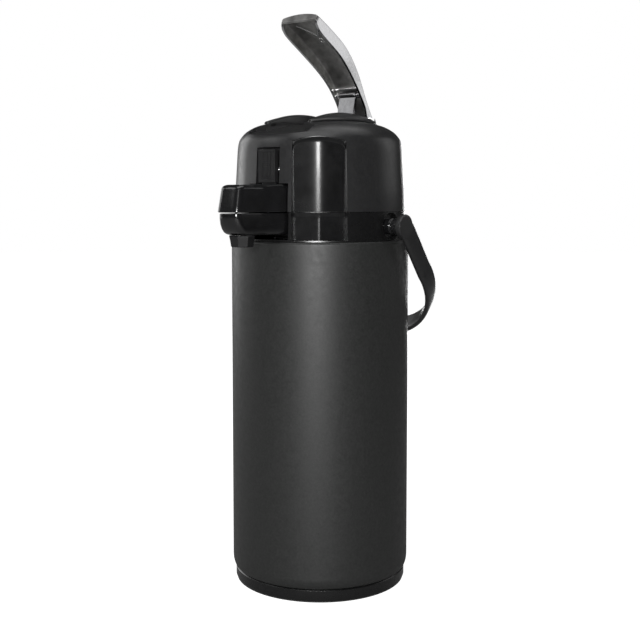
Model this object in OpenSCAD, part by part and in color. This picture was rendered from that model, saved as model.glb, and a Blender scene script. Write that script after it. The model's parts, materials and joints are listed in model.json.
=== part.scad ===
// Lever airpot: a vacuum-insulated coffee dispenser with a hinged pump lid,
// a raised pump lever, a swinging carry handle and a rotating base.
// Millimetres, +Z up, origin at the centre of the resting face, spout towards -Y.

/* [Body] */
// Outer radius of the painted body shell
body_r = 80; // [78:0.5:82]
// Height at which the body shell ends and the collar begins
shell_top = 310; // [305:1:315]
// Height of the seam between the collar and the lid
seam_z = 335; // [333:0.5:337]
// Thickness of the painted steel shell
shell_t = 0.8; // [0.6:0.1:1.6]
// Height of the rotating base
base_h = 11.2; // [11:0.1:11.3]

/* [Vacuum bottle] */
// Outer radius of the inner bottle
bottle_r = 65.3; // [60:0.1:66]
// Wall thickness of both bottle walls
bottle_t = 0.5; // [0.4:0.1:1]
// Inner radius of the bottle's mouth
mouth_r = 30; // [30:0.1:30.5]

/* [Lid and pump] */
// Height of the middle of the lid's crown
crown_z = 416; // [415.5:0.5:417]
// Outer radius of the rubber bellows
bellows_r = 36; // [34:0.5:37]
// Half of the gap between the two crescent guards
channel_w = 21.5; // [21.2:0.1:22.5]

/* [Lever] */
// Half of the lever's width near its tip
lever_w = 20; // [18:0.5:20.5]
// Depth of the lever's side walls
lever_d = 8.5; // [8:0.5:10]

/* [Carry handle] */
// Distance from the handle's pivot to the middle of its grip
bail_reach = 152; // [150:1:156]
// Width of the handle strap
bail_w = 20; // [18:0.5:21]
// Angle between the hanging handle and straight down
bail_rest = 47.5; // [46:0.5:50]

/* [Spout] */
// Distance from the body axis to the spout's tip
spout_reach = 128; // [124:0.5:130]
// Half of the spout's width at its tip
spout_tip_w = 11.5; // [11:0.5:13]
// Distance from the body axis to the nozzle
nozzle_y = 108; // [106:0.5:109]

/* [Hidden] */
$fn = 96;

fit = 0.06;        // radial clearance of a pin in a running bore

// colours
black = "#1b1b1c";
gloss = "#0c0c0d";
steel = "#b9babc";
rubber = "#2a2a2a";

// ---- heights and radii of the body
base_r = 77.4;
cap_z = 12.2;
pad_t = 1.2;
shell_bottom = 12;
deck_z = 317;
deck_t = 3;
collar_r = 77.5;
wall = 2.6;
rim_z = 320.5;

// ---- lid
lid_r = 76.8;
ledge_z = 342;
ledge_t = 2.6;
lid_base_r = 67.4;
// outline of the dome: radius and height
dome_profile = smooth([[76.8, seam_z + 0.3], [76.5, 350], [75.8, 362], [75, 376], [74.3, 388],
    [73.8, 393], [72.6, 398], [69.9, 402], [66.8, 405.2], [62.5, 408], [57, 410.6], [48, 412.9],
    [36, 414.6], [20, crown_z - 0.3], [0, crown_z]]);
dome_t = 2.6;
floor_z = 412.5;          // floor of the lever's channel
scoop_tilt = 12;          // slope of the thumb scoop, degrees
scoop_y = -70;
scoop_z = 401;

// ---- spout
spout_root_y = 70;
spout_root_w = 20.5;
spout_flare = 4.2;        // how much the spout widens at its root
cover_top = 359;
spout_low_z = 316.3;      // underside of the spout
notch_w = spout_root_w + 0.6;
duct_z = 329;
duct_r = 5;
tube_y = -18;
tube_r = 4.2;

// ---- glossy panels, angles measured from the spout towards +X
panel_a0 = 17.5;
panel_a1 = 55;
panel_top = 399;
panel_arch = 65;          // radius of the arch that ends the recess in the lid
panel_floor_r = 70.6;
panel_t = 1.4;

// ---- axes
lid_axis = [79.5, seam_z];        // Y and Z of the lid's hinge
lever_axis = [57, 415.5];
link_axis = [44.5, 442.6];
nose = [36, 406.6];
link_pin_r = 1.5;
latch_axis = [-69.8, 371];
latch_pad_r = 76.2;       // radius of the latch's knurled face
latch_pad_w = 9;
bail_z = 322.5;
bail_pin_r = 4;
knuckle_r = 5;

// ---- pump
bellows_z0 = 346.6;
bellows_z1 = 393;
plate_t = 3.4;

// ---- helpers

// a disc or a ring between two heights
module ring(r_out, r_in, z0, z1) {
    translate([0, 0, z0]) difference() {
        cylinder(r = r_out, h = z1 - z0);
        if (r_in > 0) translate([0, 0, -1]) cylinder(r = r_in, h = z1 - z0 + 2);
    }
}

// a rod along X, centred on X = 0
module rod_x(r, half, y, z) {
    translate([-half, y, z]) rotate([0, 90, 0]) cylinder(r = r, h = 2 * half);
}

// a rod along X from one X to another
module rod_x_from(r, x0, x1, y, z) {
    translate([x0, y, z]) rotate([0, 90, 0]) cylinder(r = r, h = x1 - x0);
}

// the same shape on both sides of X = 0
module both_sides() {
    children();
    mirror([1, 0, 0]) children();
}

// a box given by its two corners
module box(a, b) {
    translate(a) cube(b - a);
}

// a wedge seen from above between two angles from the spout towards +X
module wedge(a0, a1, z0, z1) {
    steps = 6;
    corner = [for (i = [0:steps]) let (a = a0 + (a1 - a0) * i / steps) 110 * [sin(a), -cos(a)]];
    translate([0, 0, z0]) linear_extrude(z1 - z0) polygon(concat([[0, 0]], corner));
}

// a side outline (points in Y and Z) extruded across X
module side_plate(points, x0, x1) {
    translate([x0, 0, 0]) rotate([90, 0, 90]) linear_extrude(x1 - x0) polygon(points);
}

// points of an arc from angle a0 to a1
function arc(c, r, a0, a1, n = 8) =
    [for (i = [0:n]) let (a = a0 + (a1 - a0) * i / n) c + r * [cos(a), sin(a)]];

// a smooth curve through the points p, with n steps between each pair
function smooth(p, n = 2) = concat([for (i = [0:len(p) - 2], j = [0:n - 1])
    let (a = p[max(i - 1, 0)], b = p[i], c = p[i + 1], d = p[min(i + 2, len(p) - 1)], t = j / n)
    b + ((c - a) * t + (2 * a - 5 * b + 4 * c - d) * pow(t, 2) + (3 * b - a - 3 * c + d) * pow(t, 3)) / 2],
    [p[len(p) - 1]]);

// 0 below t = 0, 1 above t = 1, and a smooth rise between
function ease(t) = let (u = min(max(t, 0), 1)) u * u * (3 - 2 * u);

// a wire of radius r wound about Z from z0 to z1 at radius coil_r
module coil(r, coil_r, z0, z1, turns, steps = 16, sides = 6) {
    count = turns * steps;
    points = [for (i = [0:count], j = [0:sides - 1])
        let (a = 360 * i / steps, b = 360 * j / sides)
        [(coil_r + r * cos(b)) * cos(a), (coil_r + r * cos(b)) * sin(a),
            z0 + (z1 - z0) * i / count + r * sin(b)]];
    sleeve = [for (i = [0:count - 1], j = [0:sides - 1])
        let (k = (j + 1) % sides)
        [i * sides + j, (i + 1) * sides + j, (i + 1) * sides + k, i * sides + k]];
    start_cap = [for (j = [0:sides - 1]) j];
    end_cap = [for (j = [0:sides - 1]) count * sides + sides - 1 - j];
    polyhedron(points, concat(sleeve, [start_cap, end_cap]), convexity = 8);
}

// ================= body =================

module outer_shell() color(black) rotate_extrude($fn = 128) polygon(concat(
    [[base_r - 1, shell_bottom], [base_r + 0.2, shell_bottom]],
    [[body_r - 0.8, shell_bottom + 3.5], [body_r, shell_bottom + 8]],
    arc([body_r - 2.4, shell_top - 2.6], 2.4, 0, 90, 5),
    [[collar_r - 2.2, shell_top - 0.2], [collar_r - 2.2, shell_top - 0.2 - shell_t]],
    arc([body_r - 2.4, shell_top - 2.6], 2.4 - shell_t, 90, 0, 5),
    [[body_r - shell_t, shell_bottom + 8.2], [body_r - 0.8 - shell_t, shell_bottom + 4]],
    [[base_r - 1, shell_bottom + shell_t]]));

module bottom_cap() color(black) difference() {
    union() {
        ring(base_r - 1.05, 0, cap_z, cap_z + 3);
        ring(base_r - 1.6, base_r - 4, cap_z + 2.9, cap_z + 9);
        ring(48, 45, cap_z + 2.9, cap_z + 8);
        ring(9, 0, 6.6, cap_z + 10);
        for (a = [30:60:330]) rotate(a) box([9, -1, cap_z + 2.9], [46, 1, cap_z + 7.8]);
    }
    ring(1.9, 0, 0, cap_z + 8);
}

module bottle_cushion() color(rubber) rotate_extrude() polygon([[44, 20.25], [66, 20.25], [70, 23],
    [73.2, 34], [72.3, 34], [68.6, 27.9], [65.2, 25.7], [61.7, 24.35], [58, 23.95], [44, 23.95]]);

// the inside space of a bottle of outer radius r from z0, with a shoulder and a neck
function bottle_outline(r, z0, neck_r, shoulder, z1) = concat(
    [[0, z0]],
    arc([r - 14, z0 + 14], 14, -90, 0, 6),
    arc([r - 22, shoulder], 22, 0, 60, 6),
    [[neck_r + 3, shoulder + 30], [neck_r, shoulder + 34], [neck_r, z1], [0, z1]]);

module bottle_wall(r, z0, neck_r, shoulder, z1) rotate_extrude($fn = 128) difference() {
    polygon(bottle_outline(r, z0, neck_r, shoulder, z1));
    polygon(bottle_outline(r - bottle_t, z0 + bottle_t, neck_r - bottle_t, shoulder - 0.2, z1 + 1));
}

module bottle_outer() color(steel)
    bottle_wall(72, 24, mouth_r + 3.6, 271, rim_z - bottle_t - 0.02);

module bottle_inner() color(steel) union() {
    bottle_wall(bottle_r, 33, mouth_r + bottle_t, 264, rim_z);
    ring(mouth_r + 3.6, mouth_r + bottle_t - 0.1, rim_z - bottle_t, rim_z);
}

module neck_nut() color(black) union() {
    ring(41, mouth_r + 3.9, 311, deck_z - 0.6);
    for (a = [0:45:315]) rotate(a) box([40, -3, 311], [43, 3, deck_z - 0.6]);
}

module neck_seal() color(rubber) rotate_extrude() polygon([[mouth_r + 0.6, rim_z + 0.02],
    [36.5, rim_z + 0.02], [36.5, rim_z + 1.2], [36, rim_z + 1.7], [mouth_r + 1.2, rim_z + 1.7],
    [mouth_r + 0.6, rim_z + 1.1]]);

module collar() color(black) difference() {
    union() {
        // outer wall, with a skirt inside the shell
        rotate_extrude($fn = 128) polygon([[collar_r - 5, 300], [collar_r - 2.6, 300],
            [collar_r - 2.6, shell_top + 0.02], [collar_r + 0.3, shell_top + 0.02], [collar_r, 314],
            [lid_r, seam_z], [lid_r - wall, seam_z],
            [lid_r - wall, deck_z + deck_t], [mouth_r + 4.4, deck_z + deck_t], [mouth_r + 4.4, deck_z],
            [collar_r - 5, deck_z - 2]]);
        // thick wall behind the glossy panel
        intersection() {
            ring(76, 67.6, shell_top + 1, seam_z);
            wedge(panel_a0 - 2, panel_a1 + 2, shell_top, seam_z);
        }
        // round sockets of the carry handle
        both_sides() intersection() {
            rod_x_from(13.5, 62, 77, 0, bail_z - 0.5);
            ring(collar_r - 1, 0, shell_top + 0.1, seam_z - 0.1);
        }
        // hinge ears at the rear
        both_sides() {
            rod_x_from(knuckle_r, 10.2, 22, lid_axis[0], lid_axis[1]);
            side_plate([[72, 322], [77, 322], [84.2, 333], [82, 336], [74, 334.9]], 10.2, 22);
        }
        // bridge that the lid's latch hooks under
        both_sides() box([8, -67.5, deck_z + 1], [11, -63.5, 352]);
        box([-11, -67.5, 347], [11, -63.5, 352]);
    }
    // opening for the spout
    box([-22, -90, shell_top + 1.8], [22, -68.3, seam_z + 5]);
    // recess of the glossy panel
    intersection() {
        ring(90, panel_floor_r, shell_top + 1.2, seam_z + 1);
        wedge(panel_a0 + 0.8, panel_a1 - 0.8, shell_top - 1, seam_z + 1);
    }
    // recesses round the handle's pivots
    both_sides() {
        rod_x_from(12, 73.5, 90, 0, bail_z);
        rod_x_from(bail_pin_r, 60, 75, 0, bail_z);
    }
    // room for the lid's knuckle between the ears, and the hinge pin's bore
    rod_x(knuckle_r + 0.5, 10.2, lid_axis[0], lid_axis[1]);
    box([-10.2, 70, seam_z - 0.5], [10.2, 90, seam_z + 5]);
    rod_x(2, 30, lid_axis[0], lid_axis[1]);
}

// the arched space that the panel's recess in the lid keeps to
module panel_arch_space(r)
    rotate((panel_a0 + panel_a1) / 2 - 90) translate([0, 0, panel_top - panel_arch]) rotate([0, 90, 0])
        cylinder(r = r, h = 110, $fn = 160);

// a plate bent round the axis in the recess between two heights, with a crease down its middle
module bent_panel(z0, z1) {
    mid = (panel_a0 + panel_a1) / 2;
    difference() {
        intersection() {
            ring(panel_floor_r + panel_t, panel_floor_r + 0.05, z0, z1);
            wedge(panel_a0 + 0.9, panel_a1 - 0.9, z0, z1);
        }
        translate([0, 0, z0 - 1]) rotate(mid - 90)
            translate([panel_floor_r + panel_t, 0, 0]) cylinder(r = 0.6, h = z1 - z0 + 2, $fn = 24);
    }
}

module collar_panel() color(gloss) bent_panel(shell_top + 1.25, seam_z - 0.1);

// half of the spout's width at a distance along Y: a slow taper, then a flare at the root
function spout_half(y) =
    let (tip_y = 5 - spout_reach, narrow = spout_root_w - spout_flare, tip = spout_tip_w + 0.6)
    tip + (narrow - tip) * (y - tip_y) / (-74 - tip_y) + spout_flare * ease((y + 96) / 22);

// one side of the spout seen from above, from the root to the middle of the tip
function spout_side(inset) = concat(
    [[spout_root_w - inset, inset - spout_root_y]],
    [for (y = [-74:-3:-101]) [min(spout_half(y), spout_root_w) - inset, y]],
    [[spout_half(-112) - inset, -112]],
    [[spout_tip_w + 0.6 - inset, -spout_reach + 5 + inset]],
    [[spout_tip_w - 0.3 - inset, -spout_reach + 2.2 + inset]],
    [[spout_tip_w - 3 - inset, -spout_reach + 0.6 + inset]],
    [[4, -spout_reach + inset]]);

// the spout seen from above, shrunk by an inset
function spout_plan(inset) = let (side = spout_side(inset))
    concat(side, [for (i = [len(side) - 1:-1:0]) [-side[i][0], side[i][1]]]);

module spout_plan_solid(inset, z0, z1)
    translate([0, 0, z0]) linear_extrude(z1 - z0) polygon(spout_plan(inset));

module spout_lower() color(gloss) difference() {
    union() {
        intersection() {
            spout_plan_solid(0.4, spout_low_z, seam_z - 0.4);
            side_plate([[-60, spout_low_z], [-116, spout_low_z], [-121.5, spout_low_z + 1.6],
                [-125.5, 323], [-127.8, seam_z - 0.4], [-60, seam_z - 0.4]], -17.5, 17.5);
        }
        // flange that closes the collar's opening behind the spout
        box([-21.8, -70.5, spout_low_z], [21.8, -68.4, seam_z - 0.4]);
        // boss that the nozzle clips round
        translate([0, -nozzle_y, 311.5]) cylinder(r = 6.6, h = 6);
    }
    intersection() {
        spout_plan_solid(2.2, 321, seam_z + 1);
        side_plate([[-70.5, 321], [-116, 321], [-121, 323], [-125, seam_z + 1], [-70.5, seam_z + 1]],
            -15.3, 15.3);
    }
    // ways for the outlet tube
    translate([0, -60, duct_z]) rotate([90, 0, 0]) cylinder(r = duct_r + 0.1, h = 20);
    box([-duct_r - 0.1, -72, duct_z], [duct_r + 0.1, -60, seam_z + 1]);
    translate([0, -nozzle_y, 300]) cylinder(r = duct_r + 0.1, h = 40);
}

module spout_cover() color(gloss) difference() {
    intersection() {
        spout_plan_solid(0, seam_z, cover_top);
        side_plate([[-60, seam_z], [-spout_reach, seam_z], [-spout_reach + 4.6, cover_top - 4.6],
            [-spout_reach + 6.6, cover_top - 2.6], [-100, cover_top - 0.6], [-78, cover_top],
            [-60, cover_top]], -30, 30);
    }
    intersection() {
        spout_plan_solid(2.2, seam_z - 1, cover_top - 2.4);
        side_plate([[-72, seam_z - 1], [-spout_reach + 2.6, seam_z - 1], [-spout_reach + 7, cover_top - 7],
            [-100, cover_top - 3], [-72, cover_top - 2.4]], -30, 30);
    }
    // room for the latch and its hook inside the lid
    box([-12.2, -74.2, seam_z - 1], [12.2, -60, cover_top + 1]);
}

module nozzle() color(gloss) difference() {
    translate([0, -nozzle_y, 306.5]) rotate(22.5) cylinder(r = 11.6, h = spout_low_z - 306.6, $fn = 8);
    translate([0, -nozzle_y, 311.4]) cylinder(r = 6.7, h = 6);
    translate([0, -nozzle_y, 300]) cylinder(r = 4.4, h = 20);
    translate([0, -nozzle_y, 309]) cylinder(r = duct_r + 0.05, h = 10);
}

module outlet_tube() color(steel) difference() {
    union() {
        translate([0, tube_y - 5, duct_z]) rotate([90, 0, 0]) cylinder(r = duct_r, h = nozzle_y + tube_y - 5);
        translate([0, -nozzle_y, duct_z]) sphere(r = duct_r);
        translate([0, -nozzle_y, 309.2]) cylinder(r = duct_r, h = duct_z - 309.2);
    }
    translate([0, tube_y, duct_z]) rotate([90, 0, 0]) cylinder(r = duct_r - 1, h = nozzle_y + tube_y);
    translate([0, -nozzle_y, duct_z]) sphere(r = duct_r - 1);
    translate([0, -nozzle_y, 300]) cylinder(r = duct_r - 1, h = duct_z - 300);
}

module stopper() color(black) difference() {
    union() {
        // flange on the neck seal, plug in the mouth, port for the pumped air
        ring(35.6, 0, rim_z + 1.75, 325.4);
        ring(mouth_r - 1.9, mouth_r - 4.2, 309, rim_z + 2);
        ring(8, 0, 325, 331);
        // valve chamber and elbow of the siphon
        translate([0, tube_y, 304]) cylinder(r = 7, h = 28.5);
        translate([0, tube_y - 4, duct_z]) rotate([90, 0, 0]) cylinder(r = 6.6, h = 7);
    }
    ring(5, 0, 315, 335);
    translate([0, tube_y, 300]) cylinder(r = tube_r, h = 7);
    translate([0, tube_y, 300]) cylinder(r = 3, h = 12);
    translate([0, tube_y, 309.5]) cylinder(r = 4.6, h = 12);
    translate([0, tube_y, 320]) cylinder(r = 3.5, h = duct_z - 320);
    translate([0, tube_y, duct_z]) sphere(r = 3.5);
    translate([0, tube_y, duct_z]) rotate([90, 0, 0]) cylinder(r = 3.5, h = 20);
    translate([0, tube_y - 5, duct_z]) rotate([90, 0, 0]) cylinder(r = duct_r, h = 20);
}

module stopper_gasket() color(rubber) rotate_extrude()
    translate([mouth_r - 0.95, 316]) circle(r = 0.95, $fn = 24);

module siphon_tube() color(steel) difference() {
    translate([0, tube_y, 42]) cylinder(r = tube_r, h = 307 - 42);
    translate([0, tube_y, 40]) cylinder(r = tube_r - 0.6, h = 300);
    // slanted foot that leaves a way in at the bottom of the bottle
    translate([0, tube_y, 42]) rotate([35, 0, 0]) translate([0, 0, -10]) cube([20, 20, 20], center = true);
}

module check_ball() color(steel) translate([0, tube_y, 309.5 + sqrt(16 - 9) + 0.05]) sphere(r = 4);

module lid_hinge_pin() color(steel) rod_x(2, 21.6, lid_axis[0], lid_axis[1]);

// two studs, each with a grooved shoulder between the collar and the handle's ear
module bail_pins() color(steel) both_sides() translate([0, 0, bail_z]) rotate([0, 90, 0])
    rotate_extrude() polygon([[0, 64], [bail_pin_r, 64], [bail_pin_r, 73.5], [7, 73.5], [7, 78.6],
        [6, 79.2], [6, 80.4], [7, 81], [7, 85], [6.4, 86.6], [bail_pin_r, 86.6],
        [bail_pin_r, 90.4], [0, 90.4]]);

// ================= carry handle =================

bail_top_x = 90.2;       // middle of the strap at its pivot
bail_low_x = 83.8;       // middle of the strap where its corner starts
bail_straight = 58;
bail_t = 5;
ear_x = 87.2;            // inner face of the ear round each pivot
// middle line of the strap, X and distance from the pivot, from one ear to the other
function bail_line(side, n = 14) = [for (i = [0:n]) let (a = 90 * i / n)
    [side * bail_low_x * pow(cos(a), 1.1), bail_straight + (bail_reach - bail_straight) * pow(sin(a), 1.1)]];
bail_half = concat([[bail_top_x, 0]], bail_line(1));
bail_path = concat(bail_half, [for (i = [len(bail_half) - 2:-1:0]) [-bail_half[i][0], bail_half[i][1]]]);
function unit(v) = v / norm(v);
function path_normal(p, i) =
    let (a = p[max(i - 1, 0)], b = p[min(i + 1, len(p) - 1)], d = unit(b - a)) [d[1], -d[0]];
bail_outline = concat(
    [for (i = [0:len(bail_path) - 1]) bail_path[i] + path_normal(bail_path, i) * bail_t / 2],
    [for (i = [len(bail_path) - 1:-1:0]) bail_path[i] - path_normal(bail_path, i) * bail_t / 2]);

module bail() color(black) translate([0, 0, bail_z]) rotate([bail_rest, 0, 0]) difference() {
    union() {
        // strap, hanging straight down before it is turned
        rotate([-90, 0, 0]) translate([0, 0, -bail_w / 2]) linear_extrude(bail_w) polygon(bail_outline);
        both_sides() rod_x_from(bail_w / 2 + 0.6, ear_x, 93, 0, 0);
    }
    rod_x(bail_pin_r + fit, 90.8, 0, 0);
    // trim the strap to the ears' flat inner faces
    both_sides() box([80, -20, -20], [ear_x, 20, 14]);
}

// ================= rotating base =================

module swivel_base() color(black) union() {
    rotate_extrude($fn = 128) polygon([[9 + fit, base_h - 4.5], [9 + fit, base_h], [base_r - 0.8, base_h],
        [base_r, base_h - 0.8], [base_r, 3], [base_r - 0.8, pad_t + 0.02], [base_r - 4, pad_t + 0.02],
        [base_r - 4, base_h - 3], [16, base_h - 3], [16, base_h - 4.5]]);
    ring(40, 37.6, pad_t + 0.02, base_h - 2.8);
    for (a = [0:30:330]) rotate(a) box([39, -1.1, pad_t + 0.02], [base_r - 3.8, 1.1, base_h - 2.8]);
}

module base_pad() color(rubber) ring(base_r - 1, 0, 0, pad_t);

module glide_ring() color("#e6e6e0") ring(70, 62, base_h + 0.1, cap_z - 0.02);

module swivel_washer() color(steel) ring(14, 2.1, 5, 6.55);

module swivel_screw() color(steel) difference() {
    union() {
        translate([0, 0, 5]) cylinder(r = 1.9, h = 14);
        translate([0, 0, 2.6]) cylinder(r = 4, h = 2.4);
    }
    box([-0.5, -3, 2], [0.5, 3, 3.6]);
    box([-3, -0.5, 2], [3, 0.5, 3.6]);
}

// ================= lid =================

module dome_solid(inset) rotate_extrude($fn = 128) polygon(concat(
    [[0, seam_z + 0.3 - (inset > 0 ? 1 : 0)]],
    [for (p = dome_profile)
        [max(p[0] - inset, 0),
            p[1] - inset * max(0, (p[1] - 393) / 23) - (inset > 0 && p[1] < 340 ? 1 : 0)]]));

// one crescent guard beside the lever's channel
module guard() intersection() {
    translate([-50, 2, 400]) cylinder(r = 90, h = 40, $fn = 160);
    box([channel_w, -45, 400], [60, 61, 440]);
    // arched top that leans outwards
    translate([channel_w, 10, 422.6]) rotate([0, 20, 0]) translate([-20, 0, -180]) rotate([0, 90, 0])
        cylinder(r = 180, h = 80, $fn = 240);
}

// slope of the thumb scoop, cut up to a half width
module scoop_cut(half, z, to_y) translate([0, scoop_y, z]) rotate([scoop_tilt, 0, 0])
    box([-half, -20, 0], [half, to_y, 30]);

module lid_dome() color(black) difference() {
    union() {
        // dome with the thumb scoop and the channel for the closed lever
        difference() {
            dome_solid(0);
            scoop_cut(33, scoop_z, 20);
            scoop_cut(channel_w - 0.4, scoop_z, 90);
            box([0.4 - channel_w, -20, floor_z], [channel_w - 0.4, 90, 440]);
        }
        both_sides() difference() {
            guard();
            scoop_cut(33, scoop_z, 20);
        }
        // hinge boss of the lever
        rod_x(6, 12.6, lever_axis[0], lever_axis[1]);
        box([-12.6, lever_axis[0] - 6, 404], [12.6, lever_axis[0] + 6, lever_axis[1]]);
    }
    difference() {
        dome_solid(dome_t);
        // floor of the channel and the scoop, seen from inside
        scoop_cut(36.5, scoop_z - dome_t, 90);
        box([-35.5, -12, floor_z - dome_t], [35.5, 90, 440]);
        // thick wall behind the glossy panel
        intersection() {
            ring(80, 68, seam_z - 1, panel_top + 4);
            wedge(panel_a0 - 2, panel_a1 + 2, seam_z - 1, panel_top + 4);
        }
        // housing of the latch, ledge for the lid's base, screw bosses
        box([-18.4, -80, cover_top + 0.3], [18.4, -63.6, 394]);
        ring(80, lid_base_r + 0.1, ledge_z, ledge_z + ledge_t);
        for (a = [45:90:315]) rotate(a) translate([58, 0, ledge_z + 3.4]) cylinder(r = 4.2, h = 90);
    }
    for (a = [45:90:315]) rotate(a) translate([58, 0, ledge_z]) cylinder(r = 1.5, h = 15);
    // notch over the spout
    box([-notch_w, -90, seam_z - 5], [notch_w, -58, cover_top + 0.4]);
    // pocket of the latch, open below
    box([-12.6, -90, cover_top - 5], [12.6, -66.6, 390]);
    // the latch swings in here
    box([-8, -67, cover_top - 5], [8, -64.4, 377]);
    // recess of the glossy panel
    intersection() {
        ring(90, panel_floor_r, seam_z - 1, panel_top);
        wedge(panel_a0 + 0.8, panel_a1 - 0.8, seam_z - 1, panel_top);
        panel_arch_space(panel_arch);
    }
    // room for the arm of the lid's hinge knuckle
    box([-10, 60, seam_z - 5], [10, 90, ledge_z + ledge_t + 0.4]);
    // slot for the push link
    box([-11, 25, 400], [11, 45.5, 440]);
    // room for the cheeks of the lever, its pin and the lid's hinge ears
    both_sides() rod_x_from(8, 12.6, 17, lever_axis[0], lever_axis[1]);
    rod_x(2.5, 30, lever_axis[0], lever_axis[1]);
    both_sides() rod_x_from(knuckle_r + 0.5, 9.9, 22.3, lid_axis[0], lid_axis[1]);
    // bore of the latch's pin
    rod_x(1.5, 15.9, latch_axis[0], latch_axis[1]);
}

module lid_panel() color(gloss) intersection() {
    bent_panel(seam_z + 0.6, panel_top - 0.4);
    panel_arch_space(panel_arch - 0.4);
}

module lid_base() color(black) difference() {
    union() {
        ring(lid_base_r, 0, ledge_z, ledge_z + ledge_t);
        // stiffening skirt and the seat of the bellows
        ring(52, 50, ledge_z - 4, ledge_z + 0.1);
        ring(bellows_r + 1.8, bellows_r + 0.2, ledge_z + ledge_t - 0.1, ledge_z + ledge_t + 3);
        // tube that guides the pump plate
        ring(7, 0, ledge_z - 6, 373);
        // knuckle of the lid's hinge
        rod_x(knuckle_r, 9.7, lid_axis[0], lid_axis[1]);
        side_plate([[60, ledge_z], [60, ledge_z + 2.4], [72.4, ledge_z + 2.4], [84, 337], [80, seam_z],
            [76, seam_z + 0.4], [66, ledge_z - 3.6]], -9.7, 9.7);
    }
    ring(5.2, 0, 340, 390);
    ring(3.6, 0, 330, 341);
    for (a = [0:60:300]) rotate(a) box([4, -1, 348], [9, 1, 366]);
    for (a = [45:90:315]) rotate(a) translate([58, 0, 330]) cylinder(r = 1.7, h = 30);
    rod_x(2 + fit, 30, lid_axis[0], lid_axis[1]);
    // room for the latch and the hooked bridge
    box([-19, -80, 330], [19, -59.5, 360]);
}

module air_seal() color(rubber) rotate_extrude() polygon([[4.2, ledge_z - 9.6], [5.2, ledge_z - 10.6],
    [7.6, ledge_z - 10.6], [8.6, ledge_z - 9.6], [8.6, ledge_z - 2], [7.05, ledge_z - 2],
    [7.05, ledge_z - 6.05], [4.2, ledge_z - 6.05]]);

module lid_screws() color(steel) for (a = [45:90:315]) rotate(a) translate([58, 0, 0]) difference() {
    union() {
        translate([0, 0, ledge_z - 2.1]) cylinder(r = 3, h = 2.08, $fn = 32);
        translate([0, 0, ledge_z - 2]) cylinder(r = 1.5, h = 14, $fn = 32);
    }
    box([-0.4, -2.2, ledge_z - 3], [0.4, 2.2, ledge_z - 1.3]);
    box([-2.2, -0.4, ledge_z - 3], [2.2, 0.4, ledge_z - 1.3]);
}

folds = 6;
fold_h = (bellows_z1 - bellows_z0 - 3) / folds;
// zigzag from the lower flange to the upper one, shifted outwards by s
function fold_points(s) = [for (i = [0:2 * folds])
    [(i % 2 == 0 ? bellows_r - 6 : bellows_r - 1.4) + s, bellows_z0 + 1.5 + i * fold_h / 2]];

module bellows() color(rubber) rotate_extrude() polygon(concat(
    [[bellows_r - 7.4, bellows_z0 - 1.98], [bellows_r - 7.4, bellows_z0]],
    fold_points(0),
    [[bellows_r - 7.4, bellows_z1 - 1.6], [bellows_r - 7.4, bellows_z1 - 0.05]],
    [[bellows_r - 0.8, bellows_z1 - 0.05], [bellows_r - 0.8, bellows_z1 - 1.4]],
    [for (i = [2 * folds:-1:0]) fold_points(1.3)[i]],
    [[bellows_r - 0.8, bellows_z0 - 0.2], [bellows_r - 0.8, bellows_z0 - 1.98]]));

module pump_spring() color(steel) coil(0.8, 13, ledge_z + ledge_t + 0.9, bellows_z1 - 0.9, 7);

module outlet_valve() color(rubber) translate([0, 0, 340]) difference() {
    cylinder(r = 5.1, h = 0.9);
    for (a = [0:90:270]) rotate(a) translate([4, 0, -1]) cylinder(r = 0.5, h = 3, $fn = 16);
}

// ================= pump =================

module pump_plate() color(black) difference() {
    union() {
        ring(bellows_r - 1.6, 0, bellows_z1, bellows_z1 + plate_t);
        ring(4.9, 0, 362, bellows_z1 + 1);
        // arm with a trough under the nose of the push link
        box([-12.5, 20, bellows_z1], [12.5, 46.6, bellows_z1 + plate_t]);
        box([-12.5, 27, bellows_z1], [12.5, 46.6, 405]);
    }
    box([-10, 28.8, 402], [10, 44.8, 410]);
    // hollow of the stem and ways for the air
    ring(3, 0, 360, bellows_z1 + 10);
    for (a = [30:60:330]) rotate(a) translate([20, 0, bellows_z1 - 1]) cylinder(r = 1.6, h = 8, $fn = 32);
}

module inlet_valve() color(rubber) ring(10, 0, bellows_z1 + plate_t + 0.02, bellows_z1 + plate_t + 1.4);

// ================= lever and link =================

// back of the lever in side view, from the tip to the hinge, and its lower rim
lever_back = smooth([[-31.5, 503.2], [-26, 500.6], [-10, 493.4], [5, 485.2], [17, 477], [27.6, 468],
    [36, 459], [43.2, 448.6], [49.6, 437.4], [56, 427.4], [61, 419.4]]);
lever_rim = smooth([[52.4, 420], [50.6, 428], [48.2, 433.2], [42, 441.6], [35, 449.6], [27, 457.2],
    [17.5, 464.8], [6, 472.8], [-6, 479.8], [-18, 486.4], [-26, 491.6], [-30.4, 497]]);

// half width of each layer of the crowned back, and how far it stands out
lever_layers = [[lever_w, 1.6], [lever_w - 3, 3.2], [lever_w - 8, 5]];

// the back moved outwards by h
function raised_back(h) =
    [for (i = [0:len(lever_back) - 1]) lever_back[i] - path_normal(lever_back, i) * h];

module lever_form(inset) for (layer = lever_layers)
    side_plate(concat(raised_back(layer[1]), lever_rim), inset - layer[0], layer[0] - inset);

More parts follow.
